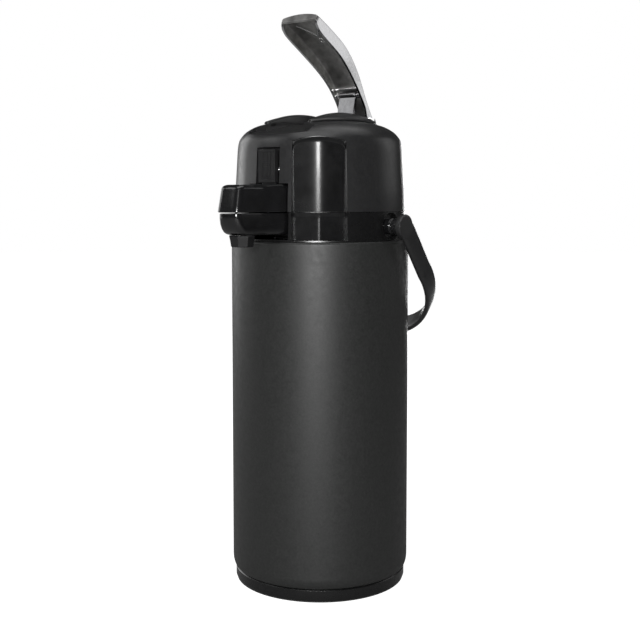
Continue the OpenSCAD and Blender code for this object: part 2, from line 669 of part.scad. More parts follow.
module lever() color("#dcdde0") difference() {
    union() {
        intersection() {
            lever_form(0);
            // narrower towards the hinge
            translate([0, 0, 400]) linear_extrude(120) polygon([[-lever_w, -40], [lever_w, -40],
                [lever_w, 10], [16, 44], [16, 70], [-16, 70], [-16, 44], [-lever_w, 10]]);
        }
        both_sides() rod_x_from(5.6, 13.2, 16, lever_axis[0], lever_axis[1]);
    }
    // hollow underside between the cheeks
    intersection() {
        translate([0, -0.188, -0.282] * lever_d) lever_form(2.4);
        translate([0, 0, 400]) linear_extrude(120) polygon([[-lever_w + 2.4, -26.8], [lever_w - 2.4, -26.8],
            [lever_w - 2.4, 9], [13.2, 44], [13.2, 80], [-13.2, 80], [-13.2, 44], [-lever_w + 2.4, 9]]);
    }
    side_plate([[47, 425], [52, 429.6], [60, 421], [80, 410], [40, 400], [30, 425]], -13.2, 13.2);
    box([-13.2, 40, 400], [13.2, 75, 426]);
    rod_x(2.5 + fit, 30, lever_axis[0], lever_axis[1]);
    rod_x(link_pin_r, 15.9, link_axis[0], link_axis[1]);
}

module lever_pin() color(steel) rod_x(2.5, 16.6, lever_axis[0], lever_axis[1]);

module link_pin() color(steel) rod_x(link_pin_r, 15.8, link_axis[0], link_axis[1]);

// flat plate from the lever down to the pump plate, with a barrel on top and a round nose
module push_link() color("#dcdde0") difference() {
    d = nose - link_axis;
    along = unit(d);
    across = [-along[1], along[0]];
    union() {
        rod_x(3, 9, link_axis[0], link_axis[1]);
        side_plate([link_axis + across * 1.4, link_axis - across * 1.4,
            nose - across * 1.4, nose + across * 1.4], -9, 9);
        rod_x(4, 9, nose[0], nose[1]);
    }
    rod_x(link_pin_r + fit, 30, link_axis[0], link_axis[1]);
}

// ================= latch =================

module latch() color(gloss) difference() {
    union() {
        // knurled pad, a little proud of the dome
        difference() {
            intersection() {
                cylinder(r = latch_pad_r, h = 450);
                box([-latch_pad_w, -80, cover_top + 1.2], [latch_pad_w, -71.4, 388]);
            }
            for (x = [-7.5:1.5:7.5])
                box([x - 0.3, -80, cover_top + 3], [x + 0.3, 0.7 - latch_pad_r + abs(x) * 0.05, 386.4]);
            for (z = [cover_top + 3.5:1.8:386]) box([-12, -80, z], [12, 0.5 - latch_pad_r, z + 0.6]);
        }
        rod_x(3.2, 7.7, latch_axis[0], latch_axis[1]);
        // leg and hook
        box([-7, -72, 366], [7, -68.6, 376]);
        box([-7, -72, 343], [7, -69.8, 372]);
        box([-7, -72, 343], [7, -65.8, 346.4]);
    }
    rod_x(1.5 + fit, 30, latch_axis[0], latch_axis[1]);
}

module latch_pin() color(steel) rod_x(1.5, 15.9, latch_axis[0], latch_axis[1]);

// torsion spring round the latch's pin
module latch_spring() color(steel) translate([9.8, latch_axis[0], latch_axis[1]]) rotate([0, 90, 0])
    coil(0.35, 2.1, 0, 2.3, 3, 12, 6);

outer_shell();
bottom_cap();
bottle_outer();
bottle_inner();
bottle_cushion();
neck_nut();
neck_seal();
collar();
collar_panel();
spout_lower();
spout_cover();
nozzle();
outlet_tube();
stopper();
stopper_gasket();
siphon_tube();
check_ball();
lid_hinge_pin();
bail_pins();
bail();
swivel_base();
base_pad();
glide_ring();
swivel_washer();
swivel_screw();
lid_dome();
lid_panel();
lid_base();
air_seal();
lid_screws();
bellows();
pump_spring();
outlet_valve();
pump_plate();
inlet_valve();
lever();
lever_pin();
link_pin();
push_link();
latch();
latch_pin();
latch_spring();
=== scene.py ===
"""Looks of the coffee airpot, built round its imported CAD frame. Metres, +Z up, spout towards -Y."""
import json
import math

import bmesh
import bpy
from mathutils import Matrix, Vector

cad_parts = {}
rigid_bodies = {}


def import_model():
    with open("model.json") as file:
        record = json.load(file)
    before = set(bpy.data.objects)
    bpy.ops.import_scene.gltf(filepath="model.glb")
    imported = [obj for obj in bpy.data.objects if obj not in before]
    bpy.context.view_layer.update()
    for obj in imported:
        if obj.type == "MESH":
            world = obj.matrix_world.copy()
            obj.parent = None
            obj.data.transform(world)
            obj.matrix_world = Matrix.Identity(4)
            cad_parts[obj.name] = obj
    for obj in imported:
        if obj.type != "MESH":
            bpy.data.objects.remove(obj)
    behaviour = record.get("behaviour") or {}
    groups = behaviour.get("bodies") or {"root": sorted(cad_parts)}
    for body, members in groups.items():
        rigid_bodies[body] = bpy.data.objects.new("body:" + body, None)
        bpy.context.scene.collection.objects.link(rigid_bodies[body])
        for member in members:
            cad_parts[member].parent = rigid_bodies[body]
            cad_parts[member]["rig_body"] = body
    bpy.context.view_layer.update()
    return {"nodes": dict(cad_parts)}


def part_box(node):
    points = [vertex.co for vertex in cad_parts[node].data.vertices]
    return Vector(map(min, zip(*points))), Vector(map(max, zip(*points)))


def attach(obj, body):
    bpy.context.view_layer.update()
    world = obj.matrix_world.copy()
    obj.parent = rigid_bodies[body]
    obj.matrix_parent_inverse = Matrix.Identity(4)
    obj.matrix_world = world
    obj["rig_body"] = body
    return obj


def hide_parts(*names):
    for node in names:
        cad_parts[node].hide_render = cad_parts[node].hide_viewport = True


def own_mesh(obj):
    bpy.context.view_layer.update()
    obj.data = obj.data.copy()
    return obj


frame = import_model()
NODES = frame["nodes"]
MM = 0.001

# ================= small maths =================


def smooth_curve(points, steps):
    """A Catmull-Rom curve through the points, with that many steps between each pair."""
    out = []
    last = len(points) - 1
    for i in range(last):
        a, b = points[max(i - 1, 0)], points[i]
        c, d = points[i + 1], points[min(i + 2, last)]
        for j in range(steps):
            t = j / steps
            out.append(tuple(
                q + ((r - p) * t + (2 * p - 5 * q + 4 * r - s) * t * t
                     + (3 * q - p - 3 * r + s) * t ** 3) / 2
                for p, q, r, s in zip(a, b, c, d)))
    return out + [tuple(points[last])]


def resample(points, count):
    """Points at equal spacing along a line of points."""
    pts = [Vector(p) for p in points]
    lengths = [0.0]
    for a, b in zip(pts, pts[1:]):
        lengths.append(lengths[-1] + (b - a).length)
    out = []
    k = 0
    for i in range(count):
        target = lengths[-1] * i / (count - 1)
        while k < len(pts) - 2 and lengths[k + 1] < target:
            k += 1
        span = lengths[k + 1] - lengths[k]
        out.append(pts[k].lerp(pts[k + 1], min(max((target - lengths[k]) / span, 0), 1)))
    return out


def ease(t):
    u = min(max(t, 0.0), 1.0)
    return u * u * (3 - 2 * u)


# ================= materials =================


def material(name, color, rough, metal=0.0, grain=900.0, bump=0.0, vary=0.15, rough_vary=0.05,
             coat=0.0, coat_rough=0.05, ior=1.5, waves=0.0, wave_scale=25.0, streak=None):
    """A Principled finish: mottled colour, uneven roughness, fine grain and slow waves."""
    mat = bpy.data.materials.new(name)
    mat.use_nodes = True
    tree = mat.node_tree
    nodes, links = tree.nodes, tree.links
    shader = nodes["Principled BSDF"]
    shader.inputs["Metallic"].default_value = metal
    shader.inputs["IOR"].default_value = ior
    shader.inputs["Coat Weight"].default_value = coat
    shader.inputs["Coat Roughness"].default_value = coat_rough
    place = nodes.new("ShaderNodeTexCoord")
    source = place.outputs["Object"]
    if streak:
        stretch = nodes.new("ShaderNodeMapping")
        stretch.inputs["Scale"].default_value = streak
        links.new(source, stretch.inputs["Vector"])
        source = stretch.outputs["Vector"]

    def noise(scale, detail, vector):
        n = nodes.new("ShaderNodeTexNoise")
        n.inputs["Scale"].default_value = scale
        n.inputs["Detail"].default_value = detail
        links.new(vector, n.inputs["Vector"])
        return n.outputs["Fac"]

    def spread(value, low, high):
        m = nodes.new("ShaderNodeMapRange")
        m.inputs["From Min"].default_value = 0.3
        m.inputs["From Max"].default_value = 0.7
        m.inputs["To Min"].default_value = low
        m.inputs["To Max"].default_value = high
        links.new(value, m.inputs["Value"])
        return m.outputs["Result"]

    # colour: slow patches with finer flecks
    ramp = nodes.new("ShaderNodeMix")
    ramp.data_type = "RGBA"
    dark = [c * (1 - vary) for c in color]
    light = [min(c * (1 + vary), 1.0) for c in color]
    ramp.inputs["A"].default_value = (*dark, 1)
    ramp.inputs["B"].default_value = (*light, 1)
    links.new(spread(noise(grain * 0.35, 4.0, source), 0.0, 1.0), ramp.inputs["Factor"])
    tint = ramp.outputs["Result"]
    links.new(tint, shader.inputs["Base Color"])
    links.new(spread(noise(grain * 0.12, 3.0, source), rough - rough_vary, rough + rough_vary),
              shader.inputs["Roughness"])
    # relief: grain of the surface over slow moulding waves
    last = None
    for strength, scale, depth in ((bump, grain, 0.0001), (waves, wave_scale, 0.001)):
        if strength <= 0:
            continue
        relief = nodes.new("ShaderNodeBump")
        relief.inputs["Strength"].default_value = strength
        relief.inputs["Distance"].default_value = depth
        links.new(noise(scale, 2.0, source), relief.inputs["Height"])
        if last:
            links.new(last, relief.inputs["Normal"])
        last = relief.outputs["Normal"]
    if last:
        links.new(last, shader.inputs["Normal"])
    return mat


PAINT = material("powder_coat", (0.0175, 0.018, 0.0175), 0.47, grain=1500, bump=0.5, vary=0.22,
                 rough_vary=0.05, waves=0.03, wave_scale=9)
SATIN = material("satin_black_plastic", (0.017, 0.017, 0.0175), 0.34, grain=1900, bump=0.12,
                 vary=0.2, rough_vary=0.05, waves=0.05, wave_scale=22)
COLLAR = material("collar_plastic", (0.006, 0.006, 0.0062), 0.27, grain=700, bump=0.004,
                  vary=0.15, rough_vary=0.02, waves=0.04, wave_scale=22)
GLOSS = material("gloss_black_plastic", (0.007, 0.007, 0.0075), 0.17, grain=260, bump=0.0,
                 vary=0.3, rough_vary=0.04, coat=0.5, coat_rough=0.04, waves=0.12, wave_scale=30)
PANEL = material("panel_plastic", (0.006, 0.006, 0.0063), 0.25, grain=420, bump=0.0, vary=0.3,
                 rough_vary=0.03, coat=0.12, coat_rough=0.08, waves=0.06, wave_scale=24, ior=1.38)
SOFT_BLACK = material("inner_plastic", (0.02, 0.02, 0.021), 0.5, grain=1500, bump=0.25, vary=0.2,
                      waves=0.05)
CHROME = material("satin_chrome", (0.66, 0.66, 0.67), 0.2, metal=1.0, grain=400, bump=0.03,
                  vary=0.05, rough_vary=0.05, streak=(1.0, 9.0, 9.0), waves=0.03, wave_scale=18)
# rougher chrome for the lever's downward faces; its darker colour is painted shade for the underside
ROUGH_SHADED_CHROME = material("rough_chrome_painted_shade", (0.5, 0.495, 0.485), 0.36, metal=1.0, grain=500, bump=0.12,
                vary=0.22, rough_vary=0.08, waves=0.2, wave_scale=60)
DARK_CHROME = material("dark_chrome", (0.2, 0.2, 0.205), 0.24, metal=1.0, grain=900, bump=0.03,
                       vary=0.1, rough_vary=0.05)
BRUSHED = material("brushed_steel", (0.5, 0.5, 0.51), 0.28, metal=1.0, grain=500, bump=0.08,
                   vary=0.1, rough_vary=0.08, streak=(0.6, 0.6, 12.0))
TURNED = material("turned_steel", (0.48, 0.48, 0.49), 0.25, metal=1.0, grain=1200, bump=0.06,
                  vary=0.1, rough_vary=0.06, streak=(12.0, 1.0, 1.0))
RUBBER = material("black_rubber", (0.018, 0.018, 0.018), 0.7, grain=1100, bump=0.4, vary=0.25,
                  waves=0.08)
SILICONE = material("silicone", (0.42, 0.41, 0.38), 0.45, grain=700, bump=0.15, vary=0.1,
                    waves=0.05)
WHITE = material("white_plastic", (0.75, 0.75, 0.72), 0.4, grain=900, bump=0.1, vary=0.06)
TUBE = material("natural_plastic", (0.6, 0.6, 0.56), 0.35, grain=900, bump=0.08, vary=0.08)

# finish of each CAD node, with the width of its broken edges in millimetres
FINISH = {
    "bottom_cap": (SOFT_BLACK, 0.3), "bottle_outer": (BRUSHED, 0), "bottle_inner": (BRUSHED, 0),
    "bottle_cushion": (RUBBER, 0.3), "neck_nut": (SOFT_BLACK, 0.3), "neck_seal": (SILICONE, 0),
    "collar": (COLLAR, 0.35), "outlet_tube": (TUBE, 0), "stopper": (SOFT_BLACK, 0.3),
    "stopper_gasket": (SILICONE, 0), "siphon_tube": (BRUSHED, 0), "check_ball": (TURNED, 0),
    "lid_hinge_pin": (TURNED, 0.3), "bail_pins": (GLOSS, 0.25), "swivel_base": (COLLAR, 0.5),
    "base_pad": (RUBBER, 0.3), "glide_ring": (WHITE, 0.3), "swivel_washer": (TURNED, 0.2),
    "swivel_screw": (TURNED, 0.15), "lid_dome": (SATIN, 0.45), "lid_base": (SOFT_BLACK, 0.3),
    "air_seal": (SILICONE, 0.2), "lid_screws": (TURNED, 0.12), "bellows": (RUBBER, 0.2),
    "pump_spring": (TURNED, 0), "outlet_valve": (SILICONE, 0.15), "pump_plate": (SOFT_BLACK, 0.4),
    "inlet_valve": (SILICONE, 0.15), "lever_pin": (TURNED, 0.3), "link_pin": (TURNED, 0.3),
    "push_link": (DARK_CHROME, 0.3), "latch": (SATIN, 0.12), "latch_pin": (TURNED, 0.2),
    "latch_spring": (TURNED, 0),
}

# ================= mesh helpers =================


def finish_mesh(obj, mat, bevel, sharp=34.0):
    """Smooth shading with crisp edges, small rounded edges and even normals."""
    obj.data.materials.clear()
    obj.data.materials.append(mat)
    for face in obj.data.polygons:
        face.use_smooth = True
    if bevel > 0:
        edge = obj.modifiers.new("edges", "BEVEL")
        edge.width = bevel * MM
        edge.segments = 2
        edge.limit_method = "ANGLE"
        edge.angle_limit = math.radians(32)
        edge.use_clamp_overlap = True
        edge.harden_normals = False
    obj.data.set_sharp_from_angle(angle=math.radians(sharp))
    even = obj.modifiers.new("normals", "WEIGHTED_NORMAL")
    even.keep_sharp = True
    even.weight = 60


def piece(name, verts, faces, body, slot, mat, replaces=(), bevel=0.0, sharp=34.0):
    """A new piece from points in millimetres."""
    mesh = bpy.data.meshes.new(name)
    mesh.from_pydata([tuple(c * MM for c in v) for v in verts], [], faces)
    bm = bmesh.new()
    bm.from_mesh(mesh)
    bmesh.ops.remove_doubles(bm, verts=bm.verts, dist=0.004 * MM)
    bmesh.ops.recalc_face_normals(bm, faces=bm.faces)
    bm.to_mesh(mesh)
    bm.free()
    obj = bpy.data.objects.new(name, mesh)
    bpy.context.scene.collection.objects.link(obj)
    finish_mesh(obj, mat, bevel, sharp)
    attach(obj, body)
    if replaces:
        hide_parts(*replaces)
    return obj


def refine(node, mat, bevel):
    """The CAD node's shape as a new piece, with its flat facets merged and its edges broken."""
    mesh = NODES[node].data.copy()
    mesh.name = node + "_shape"
    bm = bmesh.new()
    bm.from_mesh(mesh)
    bmesh.ops.remove_doubles(bm, verts=bm.verts, dist=0.004 * MM)
    bmesh.ops.dissolve_limit(bm, angle_limit=math.radians(0.4), verts=bm.verts, edges=bm.edges)
    bm.to_mesh(mesh)
    bm.free()
    if mesh.has_custom_normals:
        mesh.attributes.remove(mesh.attributes["custom_normal"])
    obj = bpy.data.objects.new(node + "_shape", mesh)
    bpy.context.scene.collection.objects.link(obj)
    finish_mesh(obj, mat, bevel)
    body = NODES[node]["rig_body"]
    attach(obj, body)
    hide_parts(node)
    return obj


def loft(rings, closed=False, capped=True):
    """Points and faces of a skin over rings of equal length, which run round and close."""
    verts = [p for ring in rings for p in ring]
    n = len(rings[0])
    faces = []
    for i in range(len(rings) - (0 if closed else 1)):
        k = (i + 1) % len(rings)
        faces += [(i * n + j, i * n + (j + 1) % n, k * n + (j + 1) % n, k * n + j) for j in range(n)]
    if capped and not closed:
        faces += [tuple(range(n)), tuple((len(rings) - 1) * n + j for j in range(n))]
    return verts, faces


def lathe(profile, count):
    """A closed outline of radius and height turned about Z."""
    rings = []
    for i in range(count):
        a = 2 * math.pi * i / count
        rings.append([(r * math.cos(a), r * math.sin(a), z) for r, z in profile])
    return loft(rings, closed=True)


def arc(cy, cz, r, a0, a1, n):
    """Points of an arc, in degrees."""
    return [(cy + r * math.cos(math.radians(a0 + (a1 - a0) * i / n)),
             cz + r * math.sin(math.radians(a0 + (a1 - a0) * i / n))) for i in range(n + 1)]


def join(parts):
    """Several lists of points and faces as one."""
    verts, faces = [], []
    for v, f in parts:
        base = len(verts)
        verts += v
        faces += [tuple(i + base for i in face) for face in f]
    return verts, faces


# ================= body shell =================

BODY_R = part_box("outer_shell")[1].x / MM
SHELL_Z0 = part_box("outer_shell")[0].z / MM
SHELL_Z1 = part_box("outer_shell")[1].z / MM
outline = ([(76.4, SHELL_Z0), (77.3, SHELL_Z0), (77.9, SHELL_Z0 + 0.5), (78.8, SHELL_Z0 + 2.3),
            (79.4, SHELL_Z0 + 4.2), (79.8, SHELL_Z0 + 6.4), (BODY_R, SHELL_Z0 + 9)]
           + [(BODY_R, SHELL_Z0 + 9 + (SHELL_Z1 - SHELL_Z0 - 14) * i / 8) for i in range(1, 9)]
           + arc(BODY_R - 2.4, SHELL_Z1 - 2.4, 2.4, 0, 90, 8)
           + [(75.3, SHELL_Z1), (75.3, SHELL_Z1 - 0.8)]
           + arc(BODY_R - 2.4, SHELL_Z1 - 2.4, 1.6, 90, 0, 4)
           + [(BODY_R - 0.8, SHELL_Z0 + 9), (78.6, SHELL_Z0 + 4.4), (76.4, SHELL_Z0 + 0.8)])
piece("body_shell", *lathe(outline, 256), "flask", "shell_paint", PAINT, ["outer_shell"])

# ================= spout =================

TIP_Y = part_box("spout_cover")[0].y / MM
ROOT_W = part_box("spout_cover")[1].x / MM
SEAM_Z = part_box("spout_cover")[0].z / MM
COVER_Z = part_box("spout_cover")[1].z / MM


def spout_half(y):
    """Half of the spout's width: a slow taper with a soft flare at the root."""
    near = TIP_Y + 5
    narrow = ROOT_W - 4.2
    taper = 12.1 + (narrow - 12.1) * (y - near) / (-74 - near)
    return min(taper + 4.2 * ease((y + 96) / 22), ROOT_W)


def spout_ring(inset, z, front, back=-70.0, low=0.0):
    """The spout's outline seen from above at one height, pulled back at its tip to front."""
    half = []
    for i in range(19):
        y = back + (front + 6.0 - back) * i / 18
        half.append((max(spout_half(y) - inset, 2.0), y))
    w, corner = half[-1][0], 5.2
    for i in range(1, 8):
        a = math.radians(90 * i / 8)
        half.append((w - corner * (1 - math.cos(a)), front + 6.0 - 5.4 * math.sin(a)))
    half.append((w - corner - 0.6, front + 0.45))
    half.append((w * 0.25, front))
    ring = half + [(-x, y) for x, y in reversed(half)]
    return [(x, y, z + low * (y - front)) for x, y in ring]


def spout_cover():
    """Upper half of the spout: straight sides and a rounded, slightly falling top."""
    rings = [spout_ring(0.9, SEAM_Z + 0.15, TIP_Y + 0.9), spout_ring(0.15, SEAM_Z + 0.5, TIP_Y + 0.15),
             spout_ring(0, SEAM_Z + 1.0, TIP_Y)]
    side_z = COVER_Z - 5.2
    for i in range(1, 5):
        t = i / 4
        rings.append(spout_ring(0.9 * t, SEAM_Z + 1 + (side_z - SEAM_Z - 1) * t, TIP_Y + 3.6 * t))
    for i in range(1, 9):
        a = math.radians(90 * i / 8)
        rings.append(spout_ring(0.9 + 4.4 * (1 - math.cos(a)), side_z + 4.1 * math.sin(a),
                                TIP_Y + 3.6 + 4.6 * (1 - math.cos(a)), low=0.022 * i / 8))
    return loft(rings)


def spout_lower():
    """Lower half of the spout, narrower, with a chin that curves up to the tip."""
    chin = [(316.5, 12.8, 2.6), (316.7, 11.6, 1.6), (317.3, 9.4, 0.9), (318.8, 6.6, 0.5),
            (321.5, 4.2, 0.3), (325.0, 2.4, 0.25), (330.0, 1.1, 0.3), (333.6, 0.8, 0.5),
            (334.4, 1.2, 0.9)]
    return loft([spout_ring(inset + 0.7, z, TIP_Y + back) for z, back, inset in chin])


piece("spout_cover_shape", *spout_cover(), "flask", "gloss_black", GLOSS, ["spout_cover"], sharp=50)
piece("spout_lower_shape", *spout_lower(), "flask", "gloss_black", GLOSS, ["spout_lower"], sharp=50)


def nozzle():
    """Eight-sided nozzle, narrower at its foot, with a round bore."""
    low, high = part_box("nozzle")
    z0, z1 = low.z / MM, high.z / MM
    y = (low.y + high.y) / 2 / MM
    rings = []
    for r, z in ((9.3, z0), (9.9, z0 + 0.5), (10.6, z0 + 5), (11.5, z1 - 0.8), (11.3, z1), (5.0, z1),
                 (5.0, z0 + 4), (4.4, z0 + 3.6), (4.4, z0 + 0.4), (4.9, z0)):
        ring = []
        for i in range(48):
            a = 2 * math.pi * i / 48
            side = math.radians(22.5) - (a + math.radians(22.5)) % math.radians(45)
            flat = math.cos(math.radians(22.5)) / math.cos(side)
            reach = r * (flat * 0.98 if r > 6 else 1.0)
            ring.append((reach * math.cos(a), y + reach * math.sin(a), z))
        rings.append(ring)
    return loft(rings, closed=True)


piece("nozzle_shape", *nozzle(), "flask", "gloss_black", GLOSS, ["nozzle"], sharp=30)

# ================= glossy panels =================

PANEL_A0, PANEL_A1, PANEL_R = 18.3, 54.2, 72.0
FLANK_SLOPE = 0.268


def panel_skin(z0, top, ridge_r, soft, cove, cols=90, rows=60):
    """Two flat flanks that meet in a ridge of a given softness, coved at the top."""
    mid = math.radians((PANEL_A0 + PANEL_A1) / 2 - 90)
    half = PANEL_R * math.sin(math.radians((PANEL_A1 - PANEL_A0) / 2))
    out, along = Vector((math.cos(mid), math.sin(mid))), Vector((-math.sin(mid), math.cos(mid)))
    front, back = [], []
    for i in range(cols + 1):
        x = half * (2 * i / cols - 1)
        z1 = top(x)
        for j in range(rows + 1):
            t = j / rows
            z = z0 + (z1 - z0) * (1 - (1 - t) ** 1.5)
            y = ridge_r - FLANK_SLOPE * (math.sqrt(x * x + soft * soft) - soft)
            y += 3 * cove * (1 - ease((z1 - z) / 5)) ** 2
            p = out * y + along * x
            front.append((p.x, p.y, z))
            q = p.normalized() * 70.7
            back.append((q.x, q.y, z))
    n = rows + 1
    size = len(front)
    faces = []
    for i in range(cols):
        for j in range(rows):
            q = (i * n + j, (i + 1) * n + j, (i + 1) * n + j + 1, i * n + j + 1)
            faces += [q, tuple(k + size for k in reversed(q))]
    rim = ([i * n for i in range(cols + 1)] + [cols * n + j for j in range(1, n)]
           + [i * n + rows for i in range(cols - 1, -1, -1)] + [j for j in range(rows - 1, 0, -1)])
    for k, a in enumerate(rim):
        b = rim[(k + 1) % len(rim)]
        faces.append((b, a, a + size, b + size))
    return front + back, faces


def arched_top(x):
    """Height of the lid panel's arched end at a distance from its middle."""
    corner = max(4.0 - (22.2 - abs(x)), 0.0)
    return 333.9 + math.sqrt(64.4 ** 2 - x * x) - 4.0 + math.sqrt(max(16.0 - corner * corner, 0.3))


piece("lid_panel_shape", *panel_skin(335.7, arched_top, 73.4, 5.0, 0.55), "lid", "gloss_black",
      PANEL, ["lid_panel"], sharp=60)
piece("collar_panel_shape", *panel_skin(311.3, lambda x: 334.8, 73.1, 1.2, 0.2, rows=16), "flask",
      "gloss_black", PANEL, ["collar_panel"], sharp=60)

# ================= crescent guards on the lid =================

DOME = [(76, 376), (73.8, 393), (72.6, 398), (69.9, 402), (66.8, 405.2), (62.5, 408), (57, 410.6),
        (48, 412.9), (36, 414.6), (20, 415.7), (0, 416)]
GUARD_X = 21.1
GUARD_Y0, GUARD_Y1 = -47.2, 57.6


def dome_height(x, y):
    """Height of the lid's crown at a place seen from above."""
    r = math.hypot(x, y)
    for (r1, z1), (r0, z0) in zip(DOME, DOME[1:]):
        if r0 <= r <= r1:
            return z0 + (z1 - z0) * (r - r0) / (r1 - r0)
    return DOME[0][1]


def guard():
    """A crescent with a rounded crest, a soft outer lip and a groove under it."""
    rings = []
    count = 72
    for i in range(count):
        t = i / (count - 1)
        y = GUARD_Y0 + (GUARD_Y1 - GUARD_Y0) * (0.5 - 0.5 * math.cos(math.pi * t))
        near = min(y - GUARD_Y0, GUARD_Y1 - y)
        full = math.sqrt(max(1 - (1 - min(near / 3.2, 1)) ** 2, 0.0))
        x_out = max(-50 + math.sqrt(91.2 ** 2 - (y - 2) ** 2), GUARD_X + 2.6)
        x_in = GUARD_X + (1 - full) * 1.6
        x_out = x_in + (x_out - x_in) * (0.72 + 0.28 * full)
        crest = 242.9 + math.sqrt(180.3 ** 2 - (y - 10) ** 2)
        foot_in, foot_out = dome_height(x_in, y) - 3, dome_height(x_out, y)
        crest = foot_out + 0.6 + (crest - foot_out - 0.6) * (0.35 + 0.65 * full)
        lip = max(crest - 0.364 * (x_out - x_in), foot_out + 2.2)
        ring = [(x_in, foot_in), (x_in, crest - 2.6), (x_in + 0.25, crest - 1.4),
                (x_in + 0.9, crest - 0.5), (x_in + 1.9, crest - 0.1)]
        for k in range(1, 7):
            u = k / 7
            x = x_in + 1.9 + (x_out - x_in - 4.2) * u
            z = crest - 0.1 + (lip - crest + 0.1) * (x - x_in - 1.9) / (x_out - x_in - 1.9)
            ring.append((x, z + 0.35 * math.sin(math.pi * u)))
        ring += [(x_out - 2.3, lip + 0.75), (x_out - 1.1, lip + 0.25), (x_out - 0.35, lip - 0.55),
                 (x_out, foot_out + 0.5 * (lip - foot_out)), (x_out - 0.15, foot_out + 0.95),
                 (x_out - 0.6, foot_out + 0.6), (x_out - 1.1, foot_out + 0.5),
                 (x_out - 1.15, foot_out - 3)]
        rings.append([(x, y, z) for x, z in ring])
    return loft(rings)


# ================= pump lever =================

LEVER_BACK = [(-30.5, 503.5), (-26, 501.2), (-10, 493.4), (5, 485.2), (17, 477), (27.6, 468),
              (36, 459), (43.2, 448.6), (49.6, 437.4), (56, 427.4), (59.6, 421.6)]
LEVER_RIM = [(-31.3, 501.9), (-30.2, 496.6), (-26, 491.6), (-18, 486.4), (-6, 479.8), (6, 472.8),
             (17.5, 464.8), (27, 457.2), (35, 449.6), (42, 441.6), (48.2, 433.2), (50.6, 428),
             (52.4, 421.4)]
LEVER_STATIONS = 64
LEVER_END = 1            # stations closed by the wall at the tip


def lever_section(rim, back, half, wall):
    """An arched section between the two rims, drawn in by a wall."""
    up = (back - rim).normalized()
    depth = (back - rim).length - (wall * 1.05 if wall else 0)
    w = half - wall
    crown = 4.4 - (0.2 if wall else 0)
    points = []
    for s in (0.0, 0.25, 0.5, 0.75, 0.92):
        points.append((w, s * (depth + 0.6)))
    r = 1.9
    for i in range(5):
        a = math.radians(90 * i / 4)
        points.append((w - r + r * math.cos(a), depth + 0.6 + (r * 0.8) * math.sin(a)))
    edge_x, edge_h = points[-1]
    for i in range(1, 11):
        x = edge_x * (1 - i / 10)
        rise = 1 - (x / edge_x) ** 2
        points.append((x, edge_h + (depth + crown - edge_h) * rise ** 0.9))
    full = points + [(-x, h) for x, h in reversed(points[:-1])]
    return [(x, rim.x + up.x * h, rim.y + up.y * h) for x, h in full]


def lever_width(y):
    return 19.9 - 3.9 * ease((y - 2) / 44)


LEVER_SKIN = []          # sections of the underside, kept for the ribs on it


def lever():
    """Arched chrome channel: outer skin, inner skin, rims, and an end wall at the tip."""
    backs = resample(smooth_curve(LEVER_BACK, 6), LEVER_STATIONS)
    rims = resample(smooth_curve(LEVER_RIM, 6), LEVER_STATIONS)
    outer, inner = [], []
    for i, (b, r) in enumerate(zip(backs, rims)):
        half = lever_width((b.x + r.x) / 2)
        if i < 3:
            half -= (0.9, 0.3, 0.1)[i]
        outer.append(lever_section(r, b, half, 0))
        inner.append(lever_section(r, b, half, 2.3))
    m = len(outer[0])
    LEVER_SKIN.extend(inner)
    verts = [p for s in outer for p in s]
    base = len(verts)
    verts += [p for s in inner for p in s]
    faces = []
    n = LEVER_STATIONS
    for i in range(n - 1):
        for j in range(m - 1):
            faces.append((i * m + j, i * m + j + 1, (i + 1) * m + j + 1, (i + 1) * m + j))
            if i >= LEVER_END:
                faces.append((base + i * m + j, base + (i + 1) * m + j,
                              base + (i + 1) * m + j + 1, base + i * m + j + 1))
        if i >= LEVER_END:
            for j, flip in ((0, False), (m - 1, True)):
                q = (i * m + j, (i + 1) * m + j, base + (i + 1) * m + j, base + i * m + j)
                faces.append(tuple(reversed(q)) if flip else q)
    end = (n - 1) * m
    for j in range(m - 1):
        faces.append((end + j, end + j + 1, base + end + j + 1, base + end + j))
    faces.append(tuple(range(m)))
    k = LEVER_END
    faces.append(tuple(i * m for i in range(k + 1)) + (base + k * m, base + k * m + m - 1)
                 + tuple(i * m + m - 1 for i in range(k, -1, -1)))
    faces.append(tuple(base + k * m + j for j in reversed(range(m))))
    return verts, faces


def disc_x(r, x0, x1, y, z, soft=0.5, count=48, hole=0.0):
    """A disc or ring along X with rounded rims."""
    profile = [(r - soft, x0), (r - 0.3 * soft, x0 + 0.3 * soft), (r, x0 + soft), (r, x1 - soft),
               (r - 0.3 * soft, x1 - 0.3 * soft), (r - soft, x1)]
    rings = []
    for rad, x in profile:
        rings.append([(x, y + rad * math.cos(2 * math.pi * i / count),
                       z + rad * math.sin(2 * math.pi * i / count)) for i in range(count)])
    if hole > 0:
        for rad, x in ((hole, x1), (hole, x0)):
            rings.append([(x, y + rad * math.cos(2 * math.pi * i / count),
                           z + rad * math.sin(2 * math.pi * i / count)) for i in range(count)])
        return loft(rings, closed=True)
    return loft(rings)


def mirrored(part):
    verts, faces = part
    return [(-x, y, z) for x, y, z in verts], [tuple(reversed(f)) for f in faces]


LEVER_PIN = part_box("lever_pin")
PIN_Y = (LEVER_PIN[0].y + LEVER_PIN[1].y) / 2 / MM
PIN_Z = (LEVER_PIN[0].z + LEVER_PIN[1].z) / 2 / MM
cheek = disc_x(5.6, 13.2, 16.0, PIN_Y, PIN_Z, hole=2.56)


def under_point(station, x):
    """A point on the lever's underside at a station and a distance from the middle."""
    i = min(int(station), LEVER_STATIONS - 2)
    t = station - i
    found = []
    for section in (LEVER_SKIN[i], LEVER_SKIN[i + 1]):
        best = min(section[8:-8], key=lambda q: abs(q[0] - x))
        found.append(Vector(best))
    q = found[0].lerp(found[1], t)
    return Vector((x, q.y, q.z))


